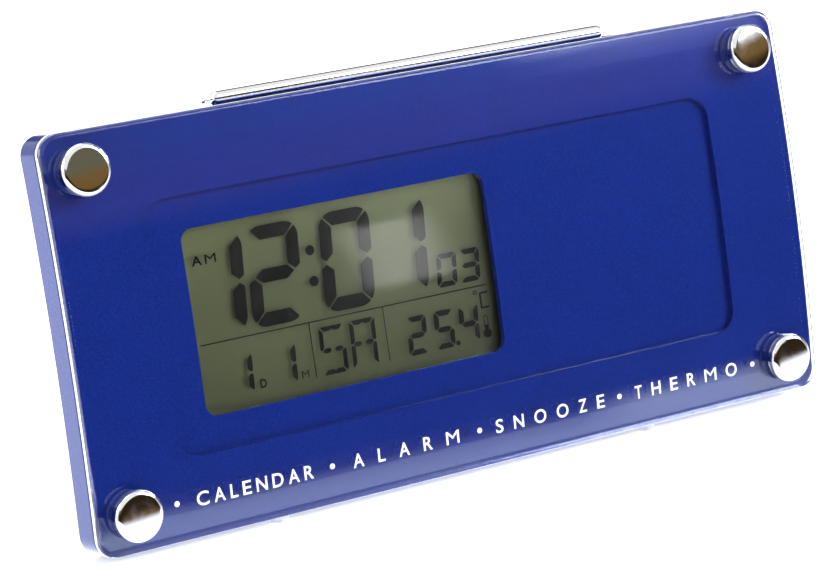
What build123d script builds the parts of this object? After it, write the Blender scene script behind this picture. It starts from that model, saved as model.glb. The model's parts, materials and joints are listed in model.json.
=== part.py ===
from build123d import *
from math import cos, radians, sin, sqrt
import os

# Desk alarm clock: a clear acrylic plate bolted over a blue body with four chrome caps.
# Millimetres, +Z up, front towards -Y. The clock stands on the floor plane Z = 0,
# leaning back, and the origin is under the middle of its box.

os.makedirs("parts", exist_ok=True)

# ---------------------------------------------------------------- driving dimensions
WIDTH = 170.0              # clear plate, side to side
HEIGHT = 80.0              # clear plate, bottom to top
BOW = 1.8                  # the middle of the front stands this far forward of its edges
LEAN = 15.0                # degrees that the front leans back
FACE_Y = -16.923           # centre of the plate's edges, front to back
CORNER_R = 4.0             # corners of plate and body

PLATE_T = 2.2              # clear plate thickness
PLATE_GAP = 0.1            # between plate and body
SLAB_T = 9.3               # plate and front shell together, front to back
SHELL_INSET = 0.15         # the body is this much smaller than the plate all round
SHELL_FRONT_T = 2.2        # front wall of the shell
RIM_T = 1.8                # side walls of the shell
COVER_GAP = 0.1            # between shell and rear cover
COVER_T = 1.6              # flange of the rear cover
WALL = 1.8                 # walls of the rear housing

RECESS_W, RECESS_H = 131.0, 49.2
RECESS_R = 4.5
RECESS_DEEP = 1.0
WINDOW_W, WINDOW_H = 68.0, 36.0
WINDOW_R = 2.5
WINDOW_X = -24.3           # middle of the window, from the middle of the plate

STUD_X, STUD_UP = 76.9, 32.55      # corner caps, from the middle of the plate
CAP_R = 5.0
CAP_T = 2.2                # washer not counted
CAP_EDGE = 1.0             # rounding between the cap's side and its face
CAP_DOME = 0.06            # rise of the barely domed face
CAP_FOOT_T = 0.35          # foot of the cap, below its groove
CAP_GROOVE = 0.2           # width and depth of the groove
WASHER_T = 0.3
WASHER_PLAY = 0.03         # between washer and plate
SPIGOT_R = 2.0
SPIGOT_L = 4.4
HOLE_PLAY = 0.15           # round a spigot in its hole
CAP_SCREW_R = 1.2
BOSS_R = 4.0               # bosses and cups of the cap screws

HOUSING_W, HOUSING_H = 140.0, 72.0  # rear housing where it leaves the flange
HOUSING_FROM = 6.5                  # depth where its slope starts
HOUSING_BACK = 24.5                 # depth of its rear face
HOUSING_TAPER = 15.0
HOUSING_R = 9.0

GLASS_T = 1.1
LCD_FRONT = 3.3            # depth of the display's front face
LCD_W, LCD_H = 76.0, 43.0
LCD_LEDGE = 2.2            # contact ledge above and below the rear glass
REFLECTOR_T = 0.3
BOARD_FRONT = 7.6          # depth of the main board's front face
BOARD_T = 1.0
BOARD_LEFT, BOARD_RIGHT = -66.0, 20.0
BOARD_LOW, BOARD_HIGH = -30.0, 32.0
BOARD_SCREW_X = (-62.5, 16.5)
BOARD_SCREW_UP = (-27.5, 29.0)
BOARD_POST_R = 2.4
SMALL_SCREW_R = 0.8        # screws of both boards
SMALL_HEAD_R, SMALL_HEAD_T = 1.9, 1.3
SMALL_HOLE_R = 1.1         # their holes in the boards

BAR_L, BAR_R = 90.6, 1.4   # snooze bar, a round rod
BAR_UP, BAR_DEPTH = 41.0, 5.5
BAR_END_ROUND = 0.9
BAR_PLAY = 0.2
END_PIN_R, END_PIN_L = 0.22, 2.2   # small pin at the bar's left end
END_HEAD_R, END_HEAD_T = 0.55, 0.7
POCKET_FLOOR = 38.0
POCKET_T = 1.6
STEM_X = 34.0
STEM_DEPTH = 5.8
STEM_R = 0.9
COLLAR_R = 1.6
COLLAR_T = 1.0
STEM_LOW = 28.0
MIDDLE_STEM_LOW = 33.6

BUTTON_R = 3.5
BUTTON_PROUD = 1.5
BUTTONS = {"mode": (-39.0, 2.0), "set": (-27.0, 2.0), "up": (-39.0, -10.0), "down": (-27.0, -10.0)}
PANEL_X, PANEL_UP = -33.0, 1.0      # middle of the button board
PANEL_W, PANEL_H = 25.0, 46.0
PANEL_FRONT = 17.9                  # depth of its front face
SWITCH_X, SWITCH_UP = -33.0, 17.0   # alarm slide switch
SWITCH_TRAVEL = 3.0

SOUNDER_X, SOUNDER_UP = -55.0, -4.0
SOUNDER_R = 8.5

CELL_R, CELL_L = 5.25, 43.7
CELL_XS = (29.9, 41.3)
CELL_DEPTH = 17.6
BAY_LEFT, BAY_RIGHT = 24.0, 47.2
BAY_HALF_H = 25.0
BAY_FLOOR = 12.2
BAY_WALL = 1.5
DOOR_LEFT, DOOR_RIGHT = 23.15, 48.05
DOOR_LOW = -26.6
DOOR_AXIS_UP, DOOR_AXIS_DEPTH = 26.0, 23.25
DOOR_BARREL_R = 1.2
DOOR_FRONT = 23.05
DOOR_GAP = 0.2
PEG_R = 0.8
PEG_L = 0.9

LEG_AXIS_UP, LEG_AXIS_DEPTH = 13.0, 22.9
LEG_OPEN = 37.0            # degrees between folded and open
LEG_W = 32.0
LEG_TIP_W = 26.0
LEG_RECESS_W = 32.6
LEG_RECESS_TOP = 15.6
LEG_RECESS_FLOOR = 21.2
LEG_HEEL = 1.5             # leg above its pin, which stops it when open
LEG_SHOULDER = 8.0         # below this the leg narrows
LEG_INNER, LEG_OUTER = -0.9, 1.5    # faces of the leg, from the pin's axis
PIN_R = 1.0

FOOT_X, FOOT_DEPTH = 43.8, 5.8
FOOT_R = 1.8
FOOT_LOW = 1.3             # front feet below the plate's edge
FOOT_PLUG_R, FOOT_PLUG_L = 0.75, 1.6
PAD_T = 1.2                # rubber pad under the leg

# ---------------------------------------------------------------- frame of the leaning clock
LEAN_SIN, LEAN_COS = sin(radians(LEAN)), cos(radians(LEAN))
FACE_Z = (HEIGHT / 2 + FOOT_LOW) * LEAN_COS + FOOT_DEPTH * LEAN_SIN
ACROSS = Vector(1, 0, 0)
UPWARD = Vector(0, LEAN_SIN, LEAN_COS)
BACKWARD = Vector(0, LEAN_COS, -LEAN_SIN)
CENTRE = Vector(0, FACE_Y, FACE_Z)
DEPTH_AXIS = Axis(CENTRE, BACKWARD)
BOW_R = (BOW ** 2 + (HEIGHT / 2) ** 2) / (2 * BOW)


def at(x, up, depth):
    """Point of the clock: across, up along the front, and backwards from its edges."""
    return CENTRE + ACROSS * x + UPWARD * up + BACKWARD * depth


def face_plane(depth, x=0, up=0):
    """Plane parallel to the front, seen from the front: x across, y up."""
    return Plane(at(x, up, depth), x_dir=ACROSS, z_dir=-BACKWARD)


def top_plane(up, x=0, depth=0):
    """Plane seen from above: x across, y backwards."""
    return Plane(at(x, up, depth), x_dir=ACROSS, z_dir=UPWARD)


def side_plane(x, up=0, depth=0):
    """Plane seen from the right: x backwards, y up."""
    return Plane(at(x, up, depth), x_dir=BACKWARD, z_dir=ACROSS)


def bowed(up):
    """Depth of the bowed front at a height."""
    return BOW_R - BOW - sqrt(BOW_R ** 2 - up ** 2)


def stud_plane(x, up, inward=0.0):
    """Plane square to the bowed front at a stud, facing out, moved inward along the stud."""
    tilt = up / BOW_R
    outward = UPWARD * tilt - BACKWARD * sqrt(1 - tilt ** 2)
    return Plane(at(x, up, bowed(up)) - outward * inward, x_dir=ACROSS, z_dir=outward)


STUDS = [(x, up) for x in (-STUD_X, STUD_X) for up in (-STUD_UP, STUD_UP)]


def bowed_layer(near, far, wide, high, corner):
    """Bowed slab between two depths, cut to a rounded rectangle."""
    half = HEIGHT
    flare = bowed(half) - bowed(HEIGHT / 2)
    with BuildPart() as layer:
        with BuildSketch(side_plane(0)):
            with BuildLine():
                ThreePointArc((near + flare, -half), (near - BOW, 0), (near + flare, half))
                Line((near + flare, half), (far + flare, half))
                ThreePointArc((far + flare, half), (far - BOW, 0), (far + flare, -half))
                Line((far + flare, -half), (near + flare, -half))
            make_face()
        extrude(amount=WIDTH, both=True)
        with BuildSketch(face_plane(-10)):
            RectangleRounded(wide, high, corner)
        extrude(amount=-30, mode=Mode.INTERSECT)
    return layer.part


# ---------------------------------------------------------------- clear plate and its caps
plate_block = bowed_layer(0, PLATE_T, WIDTH, HEIGHT, CORNER_R)
with BuildPart() as clear_front_plate:
    add(plate_block)
    front_edges = clear_front_plate.faces().sort_by(DEPTH_AXIS)[0].outer_wire().edges()
    fillet(front_edges, 1.0)
    back_edges = clear_front_plate.faces().sort_by(DEPTH_AXIS)[-1].outer_wire().edges()
    fillet(back_edges, 0.5)
    for stud in STUDS:
        with BuildSketch(stud_plane(*stud, inward=-1)):
            Circle(SPIGOT_R + HOLE_PLAY)
        extrude(amount=-5, mode=Mode.SUBTRACT)
clear_front_plate.part.label = "clear_front_plate"
export_step(clear_front_plate.part, "parts/clear_front_plate.step")



def cap_profile(stud):
    """Half section of a cap with its spigot and screw bore, from the stud's axis outwards."""
    foot, rim = WASHER_T + CAP_FOOT_T, WASHER_T + CAP_T - CAP_DOME
    inner = CAP_R - CAP_GROOVE
    bore = CAP_SCREW_R + 0.05
    face_r = CAP_R - CAP_EDGE
    turn = CAP_EDGE * (1 - sqrt(0.5))
    dome_r = (face_r ** 2 + CAP_DOME ** 2) / (2 * CAP_DOME)
    half_way = sqrt(dome_r ** 2 - (face_r / 2) ** 2) - dome_r + CAP_DOME
    front = stud_plane(*stud)
    with BuildSketch(Plane(front.origin, x_dir=ACROSS, z_dir=ACROSS.cross(front.z_dir))) as section:
        with BuildLine():
            Polyline((0, rim + CAP_DOME), (0, 0), (bore, 0), (bore, -SPIGOT_L), (SPIGOT_R, -SPIGOT_L),
                     (SPIGOT_R, WASHER_T), (CAP_R, WASHER_T), (CAP_R, foot), (inner, foot),
                     (inner, foot + CAP_GROOVE), (CAP_R, foot + CAP_GROOVE), (CAP_R, rim - CAP_EDGE))
            ThreePointArc((CAP_R, rim - CAP_EDGE), (CAP_R - turn, rim - turn), (face_r, rim))
            ThreePointArc((face_r, rim), (face_r / 2, rim + half_way), (0, rim + CAP_DOME))
        make_face()
    return section.sketch


with BuildPart() as corner_caps:
    for stud in STUDS:
        add(cap_profile(stud))
        revolve(axis=Axis(stud_plane(*stud).origin, stud_plane(*stud).z_dir))
corner_caps.part.label = "corner_caps"
export_step(corner_caps.part, "parts/corner_caps.step")

with BuildPart() as cap_washers:
    for stud in STUDS:
        with BuildSketch(stud_plane(*stud, inward=-WASHER_PLAY)):
            Circle(CAP_R - 0.6)
            Circle(SPIGOT_R + 0.1, mode=Mode.SUBTRACT)
        extrude(amount=WASHER_T - WASHER_PLAY)
cap_washers.part.label = "cap_washers"
export_step(cap_washers.part, "parts/cap_washers.step")

# ---------------------------------------------------------------- front shell
SHELL_FRONT = PLATE_T + PLATE_GAP
SHELL_INNER = SHELL_FRONT + SHELL_FRONT_T
INSIDE_W = WIDTH - 2 * (SHELL_INSET + RIM_T)
INSIDE_H = HEIGHT - 2 * (SHELL_INSET + RIM_T)
FLANGE_FRONT = SLAB_T - COVER_T
BOSS_END = 5.2             # shell bosses, measured along the stud
POCKET_L = BAR_L + 2 * END_PIN_L + 4 * BAR_PLAY
POCKET_BACK = BAR_DEPTH + BAR_R + BAR_PLAY

shell_block = bowed_layer(SHELL_FRONT, SLAB_T, WIDTH - 2 * SHELL_INSET, HEIGHT - 2 * SHELL_INSET, CORNER_R)
shell_cavity = bowed_layer(SHELL_INNER, SLAB_T + 5, INSIDE_W, INSIDE_H, CORNER_R - 1)
recess_cut = bowed_layer(-5, SHELL_FRONT + RECESS_DEEP, RECESS_W, RECESS_H, RECESS_R)

with BuildPart() as front_shell:
    add(shell_block)
    fillet(front_shell.faces().sort_by(DEPTH_AXIS)[0].outer_wire().edges(), 0.4)
    fillet(front_shell.faces().sort_by(DEPTH_AXIS)[-1].outer_wire().edges(), 0.7)
    add(shell_cavity, mode=Mode.SUBTRACT)
    # thicker top wall with the pocket that the snooze bar sinks into
    with BuildSketch(face_plane(SHELL_INNER - 0.3, up=POCKET_FLOOR - POCKET_T / 2 + 0.2)):
        Rectangle(POCKET_L + 4, POCKET_T + 0.4)
    extrude(amount=-(POCKET_BACK - SHELL_INNER + 0.3))
    with BuildSketch(face_plane(BAR_DEPTH - BAR_R - BAR_PLAY, up=POCKET_FLOOR + 5)):
        Rectangle(POCKET_L, 10)
    extrude(amount=-10, mode=Mode.SUBTRACT)
    # slots, open to the back, for the bar's stems
    for x in (-STEM_X, 0, STEM_X):
        with BuildSketch(top_plane(POCKET_FLOOR + 1, x=x, depth=STEM_DEPTH)):
            Circle(STEM_R + 0.2)
            with Locations((0, 5)):
                Rectangle(2 * (STEM_R + 0.2), 10)
        extrude(amount=-5, mode=Mode.SUBTRACT)
    # shelves that hold the springs
    for x in (-STEM_X, STEM_X):
        with BuildSketch(face_plane(SHELL_INNER - 1.2, x=x, up=29.7)):
            Rectangle(7, 1.4)
        extrude(amount=-(7.4 - SHELL_INNER + 1.2))
        with BuildSketch(top_plane(31, x=x, depth=STEM_DEPTH)):
            Circle(STEM_R + 0.2)
        extrude(amount=-3, mode=Mode.SUBTRACT)
    # bosses for the cap screws and for the main board
    for stud in STUDS:
        with BuildSketch(stud_plane(*stud, inward=SHELL_INNER - 0.5)):
            Circle(BOSS_R)
        extrude(amount=-(BOSS_END - SHELL_INNER + 0.5))
        with BuildSketch(stud_plane(*stud, inward=-1)):
            Circle(SPIGOT_R + HOLE_PLAY)
        extrude(amount=-10, mode=Mode.SUBTRACT)
    for x in BOARD_SCREW_X:
        for up in BOARD_SCREW_UP:
            with BuildSketch(face_plane(BOARD_FRONT, x, up)):
                Circle(BOARD_POST_R)
            extrude(amount=BOARD_FRONT - SHELL_INNER + BOW)
            with BuildSketch(face_plane(BOARD_FRONT, x, up)):
                Circle(SMALL_SCREW_R + 0.05)
            extrude(amount=BOARD_FRONT - SHELL_INNER, mode=Mode.SUBTRACT)
    # recess with the display window
    add(recess_cut, mode=Mode.SUBTRACT)
    with BuildSketch(face_plane(-5, x=WINDOW_X)):
        RectangleRounded(WINDOW_W, WINDOW_H, WINDOW_R)
    extrude(amount=-12, mode=Mode.SUBTRACT)
    # blind holes for the front feet
    for x in (-FOOT_X, FOOT_X):
        with BuildSketch(top_plane(-HEIGHT / 2 - 1, x=x, depth=FOOT_DEPTH)):
            Circle(FOOT_PLUG_R + 0.05)
        extrude(amount=FOOT_PLUG_L + 1.3, mode=Mode.SUBTRACT)
front_shell.part.label = "front_shell"
export_step(front_shell.part, "parts/front_shell.step")

# ---------------------------------------------------------------- display
with BuildPart() as lcd_front_glass:
    with BuildSketch(face_plane(LCD_FRONT, x=WINDOW_X)):
        Rectangle(LCD_W, LCD_H)
    extrude(amount=-GLASS_T)
    chamfer(lcd_front_glass.faces().sort_by(DEPTH_AXIS)[0].edges(), 0.15)
lcd_front_glass.part.label = "lcd_front_glass"
export_step(lcd_front_glass.part, "parts/lcd_front_glass.step")

with BuildPart() as lcd_rear_glass:
    with BuildSketch(face_plane(LCD_FRONT + GLASS_T, x=WINDOW_X)):
        Rectangle(LCD_W, LCD_H - 2 * LCD_LEDGE)
    extrude(amount=-GLASS_T)
    chamfer(lcd_rear_glass.faces().sort_by(DEPTH_AXIS)[-1].edges(), 0.15)
lcd_rear_glass.part.label = "lcd_rear_glass"
export_step(lcd_rear_glass.part, "parts/lcd_rear_glass.step")

with BuildPart() as lcd_reflector:
    with BuildSketch(face_plane(LCD_FRONT + 2 * GLASS_T, x=WINDOW_X)):
        RectangleRounded(LCD_W - 1, LCD_H - 2 * LCD_LEDGE - 0.6, 1.0)
    extrude(amount=-REFLECTOR_T)
lcd_reflector.part.label = "lcd_reflector"
export_step(lcd_reflector.part, "parts/lcd_reflector.step")

HOLDER_FRONT = LCD_FRONT + 0.2
with BuildPart() as lcd_holder:
    with BuildSketch(face_plane(HOLDER_FRONT, x=WINDOW_X)):
        RectangleRounded(LCD_W + 5, LCD_H + 5, 1.5)
        Rectangle(LCD_W + 0.3, LCD_H + 0.3, mode=Mode.SUBTRACT)
    extrude(amount=-(BOARD_FRONT - HOLDER_FRONT))
    # bars behind the glass that press it forward between the contact strips
    for side in (-1, 1):
        with BuildSketch(face_plane(LCD_FRONT + 2 * GLASS_T, x=WINDOW_X + side * (LCD_W / 2 - 1))):
            Rectangle(3, LCD_H - 2 * LCD_LEDGE - 2)
        extrude(amount=-(BOARD_FRONT - LCD_FRONT - 2 * GLASS_T))
    with BuildSketch(face_plane(LCD_FRONT + 2 * GLASS_T - 1, x=WINDOW_X)):
        RectangleRounded(LCD_W - 0.6, LCD_H - 2 * LCD_LEDGE - 0.2, 1.0)
    extrude(amount=-(REFLECTOR_T + 1.05), mode=Mode.SUBTRACT)
lcd_holder.part.label = "lcd_holder"
export_step(lcd_holder.part, "parts/lcd_holder.step")

STRIP_T = 1.6
STRIP_UP = LCD_H / 2 - STRIP_T / 2 - 0.1
with BuildPart() as contact_strips:
    for side in (-1, 1):
        with BuildSketch(face_plane(LCD_FRONT + GLASS_T, x=WINDOW_X, up=side * STRIP_UP)):
            Rectangle(LCD_W - 6, STRIP_T)
        extrude(amount=-(BOARD_FRONT - LCD_FRONT - GLASS_T))
contact_strips.part.label = "contact_strips"
export_step(contact_strips.part, "parts/contact_strips.step")

# ---------------------------------------------------------------- main board
BOARD_BACK = BOARD_FRONT + BOARD_T
BOARD_X = (BOARD_LEFT + BOARD_RIGHT) / 2
BOARD_UP = (BOARD_LOW + BOARD_HIGH) / 2

with BuildPart() as main_board:
    with BuildSketch(face_plane(BOARD_FRONT, BOARD_X, BOARD_UP)):
        RectangleRounded(BOARD_RIGHT - BOARD_LEFT, BOARD_HIGH - BOARD_LOW, 1.5)
    extrude(amount=-BOARD_T)
    for x in BOARD_SCREW_X:
        for up in BOARD_SCREW_UP:
            with BuildSketch(face_plane(BOARD_FRONT, x, up)):
                Circle(SMALL_HOLE_R)
            extrude(amount=-BOARD_T, mode=Mode.SUBTRACT)
main_board.part.label = "main_board"
export_step(main_board.part, "parts/main_board.step")

with BuildPart() as board_screws:
    for x in BOARD_SCREW_X:
        for up in BOARD_SCREW_UP:
            with BuildSketch(face_plane(BOARD_BACK, x, up)):
                Circle(SMALL_HEAD_R)
            extrude(amount=-SMALL_HEAD_T)
            with BuildSketch(face_plane(BOARD_BACK, x, up)):
                Circle(SMALL_SCREW_R)
            extrude(amount=3.6)
            with BuildSketch(face_plane(BOARD_BACK + SMALL_HEAD_T, x, up)):
                Rectangle(2.4, 0.5)
                Rectangle(0.5, 2.4)
            extrude(amount=0.6, mode=Mode.SUBTRACT)
board_screws.part.label = "board_screws"
export_step(board_screws.part, "parts/board_screws.step")

CHIP_X, CHIP_UP = -24.0, 6.0
CHIP_R, CHIP_T = 7.5, 1.7  # resin blob over the bare chip
with BuildPart() as clock_chip:
    with BuildSketch(face_plane(BOARD_BACK, CHIP_X, CHIP_UP)):
        Circle(CHIP_R)
    extrude(amount=-CHIP_T)
    fillet(clock_chip.edges().filter_by(GeomType.CIRCLE).sort_by(DEPTH_AXIS)[-1:], CHIP_T - 0.2)
clock_chip.part.label = "clock_chip"
export_step(clock_chip.part, "parts/clock_chip.step")

CRYSTAL_X, CRYSTAL_UP = -8.0, -14.0
CRYSTAL_R, CRYSTAL_L = 1.0, 6.5
CRYSTAL_DEPTH = BOARD_BACK + CRYSTAL_R + 0.05
with BuildPart() as quartz_crystal:
    with BuildSketch(side_plane(CRYSTAL_X, up=CRYSTAL_UP, depth=CRYSTAL_DEPTH)):
        Circle(CRYSTAL_R)
    extrude(amount=CRYSTAL_L)
    fillet(quartz_crystal.edges().filter_by(GeomType.CIRCLE).sort_by(Axis.X)[-1:], 0.3)
    for lead in (-0.5, 0.5):
        with BuildSketch(side_plane(CRYSTAL_X, up=CRYSTAL_UP + lead, depth=CRYSTAL_DEPTH)):
            Circle(0.18)
        extrude(amount=-2.0)
quartz_crystal.part.label = "quartz_crystal"
export_step(quartz_crystal.part, "parts/quartz_crystal.step")

# chip resistors and capacitors: (across, up, width, height, thickness)
SMALL_PARTS = [
    (-56, -14, 3.2, 1.6, 0.6), (-56, -18, 3.2, 1.6, 0.6), (-50, -14, 2.0, 1.25, 0.5),
    (-50, -18, 2.0, 1.25, 0.5), (-28, -16, 3.2, 2.5, 1.4), (6, 6, 3.2, 1.6, 0.6),
    (6, 10, 3.2, 1.6, 0.6), (6, 14, 2.0, 1.25, 0.5), (-2, 22, 6.0, 3.2, 1.8),
]
with BuildPart() as board_components:
    for x, up, wide, high, thick in SMALL_PARTS:
        with BuildSketch(face_plane(BOARD_BACK, x, up)):
            Rectangle(wide, high)
        extrude(amount=-thick)
board_components.part.label = "board_components"
export_step(board_components.part, "parts/board_components.step")

SENSOR_X, SENSOR_UP = 8.0, -24.0
with BuildPart() as temperature_sensor:
    with BuildSketch(face_plane(BOARD_BACK + 5.0, SENSOR_X, SENSOR_UP)):
        Circle(1.3)
    extrude(amount=-3.2)
    fillet(temperature_sensor.edges().filter_by(GeomType.CIRCLE), 0.6)
    for lead in (-0.6, 0.6):
        with BuildSketch(face_plane(BOARD_BACK, SENSOR_X + lead, SENSOR_UP)):
            Circle(0.2)
        extrude(amount=-5.5)
temperature_sensor.part.label = "temperature_sensor"
export_step(temperature_sensor.part, "parts/temperature_sensor.step")

# ---------------------------------------------------------------- snooze bar
COLLAR_TOP = POCKET_FLOOR - POCKET_T - BAR_PLAY
SNOOZE_SWITCH_UP = 29.3

with BuildPart() as snooze_bar:
    with BuildSketch(side_plane(-BAR_L / 2, BAR_UP, BAR_DEPTH)):
        Circle(BAR_R)
    extrude(amount=BAR_L)
    fillet(snooze_bar.edges().filter_by(GeomType.CIRCLE), BAR_END_ROUND)
    with BuildSketch(side_plane(-BAR_L / 2 + 1, BAR_UP, BAR_DEPTH)):
        Circle(END_PIN_R)
    extrude(amount=-(END_PIN_L + 0.8))
    with BuildSketch(side_plane(-BAR_L / 2 - END_PIN_L, BAR_UP, BAR_DEPTH)):
        Circle(END_HEAD_R)
    extrude(amount=END_HEAD_T)
    for x in (-STEM_X, STEM_X):
        with BuildSketch(top_plane(BAR_UP, x=x, depth=STEM_DEPTH)):
            Circle(STEM_R)
        extrude(amount=-(BAR_UP - STEM_LOW))
        with BuildSketch(top_plane(COLLAR_TOP, x=x, depth=STEM_DEPTH)):
            Circle(COLLAR_R)
        extrude(amount=-COLLAR_T)
    with BuildSketch(top_plane(BAR_UP, depth=STEM_DEPTH)):
        Circle(STEM_R)
    extrude(amount=-(BAR_UP - MIDDLE_STEM_LOW))
snooze_bar.part.label = "snooze_bar"
export_step(snooze_bar.part, "parts/snooze_bar.step")

SPRING_SEAT = 30.4
SPRING_TOP = COLLAR_TOP - COLLAR_T
SPRING_WIRE = 0.18
SPRING_R = 1.35
SPRING_COILS = 4
for side, x in (("left", -STEM_X), ("right", STEM_X)):
    with BuildPart() as snooze_spring:
        rise = SPRING_TOP - SPRING_SEAT - 2 * SPRING_WIRE - 0.1
        with BuildLine():
            coil = Helix(rise / SPRING_COILS, rise, SPRING_R,
                         center=at(x, SPRING_SEAT + SPRING_WIRE + 0.05, STEM_DEPTH), direction=UPWARD)
        with BuildSketch(Plane(coil @ 0, z_dir=coil % 0)):
            Circle(SPRING_WIRE)
        sweep(is_frenet=True)
    snooze_spring.part.label = f"snooze_spring_{side}"
    export_step(snooze_spring.part, f"parts/snooze_spring_{side}.step")

with BuildPart() as snooze_switch:
    with BuildSketch(face_plane(BOARD_FRONT, up=SNOOZE_SWITCH_UP)):
        Rectangle(6.0, 3.4)
    extrude(amount=3.4)
    with BuildSketch(top_plane(31.0, depth=STEM_DEPTH)):
        Circle(1.3)
    extrude(amount=1.2)
snooze_switch.part.label = "snooze_switch"
export_step(snooze_switch.part, "parts/snooze_switch.step")

# ---------------------------------------------------------------- rear cover
COVER_INSET = SHELL_INSET + RIM_T + COVER_GAP
REAR_INNER = HOUSING_BACK - WALL
BAY_X = (BAY_LEFT + BAY_RIGHT) / 2
DOOR_X = (DOOR_LEFT + DOOR_RIGHT) / 2
DOOR_SEAT_W = DOOR_RIGHT - DOOR_LEFT + 2 * DOOR_GAP
SEAT_LOW, SEAT_HIGH = DOOR_LOW - DOOR_GAP, DOOR_AXIS_UP + DOOR_BARREL_R + DOOR_GAP
TAB_LOW, TAB_TOP = 36.5, HEIGHT / 2 - SHELL_INSET - 0.3
PANEL_BACK = PANEL_FRONT + BOARD_T
PANEL_SCREWS = [(PANEL_X + x, PANEL_UP + up) for x in (-9.5, 9.5) for up in (-20.5, 20.5)]
PANEL_POST_R = 2.2
CAP_HEAD_R, CAP_HEAD_T = 2.3, 1.4
SOUNDER_SLOT_PITCH = 2.6

with BuildPart() as housing_cavity:
    with BuildSketch(face_plane(HOUSING_FROM - 3)):
        RectangleRounded(HOUSING_W - 2 * WALL + 1.6, HOUSING_H - 2 * WALL + 1.6, HOUSING_R - WALL)
    extrude(amount=-(REAR_INNER - HOUSING_FROM + 3), taper=HOUSING_TAPER)
    # material left for the battery bay, the leg recess and their bosses
    with BuildSketch(face_plane(BAY_FLOOR - BAY_WALL, x=BAY_X)):
        Rectangle(BAY_RIGHT - BAY_LEFT + 2 * BAY_WALL, 2 * (BAY_HALF_H + BAY_WALL))
    extrude(amount=-20, mode=Mode.SUBTRACT)
    with BuildSketch(face_plane(LEG_RECESS_FLOOR - WALL, up=LEG_RECESS_TOP + WALL - 40)):
        Rectangle(LEG_RECESS_W + 2 * WALL, 80)
    extrude(amount=-20, mode=Mode.SUBTRACT)
    with BuildSketch(face_plane(DOOR_AXIS_DEPTH - 2.2, x=DOOR_X, up=DOOR_AXIS_UP)):
        Rectangle(DOOR_RIGHT - DOOR_LEFT + 5.0, 4.6)
    extrude(amount=-20, mode=Mode.SUBTRACT)
    # ring that holds the sounder, and posts for the button board
    with BuildSketch(face_plane(REAR_INNER - 1.0, SOUNDER_X, SOUNDER_UP)):
        Circle(SOUNDER_R + 0.9)
        Circle(SOUNDER_R - 0.8, mode=Mode.SUBTRACT)
    extrude(amount=-5, mode=Mode.SUBTRACT)
    for x, up in PANEL_SCREWS:
        with BuildSketch(face_plane(PANEL_BACK, x, up)):
            Circle(PANEL_POST_R)
        extrude(amount=-8, mode=Mode.SUBTRACT)

FLANGE_W, FLANGE_H = WIDTH - 2 * COVER_INSET, HEIGHT - 2 * COVER_INSET
flange = bowed_layer(FLANGE_FRONT, SLAB_T, FLANGE_W, FLANGE_H, CORNER_R - 1.1)

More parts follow.
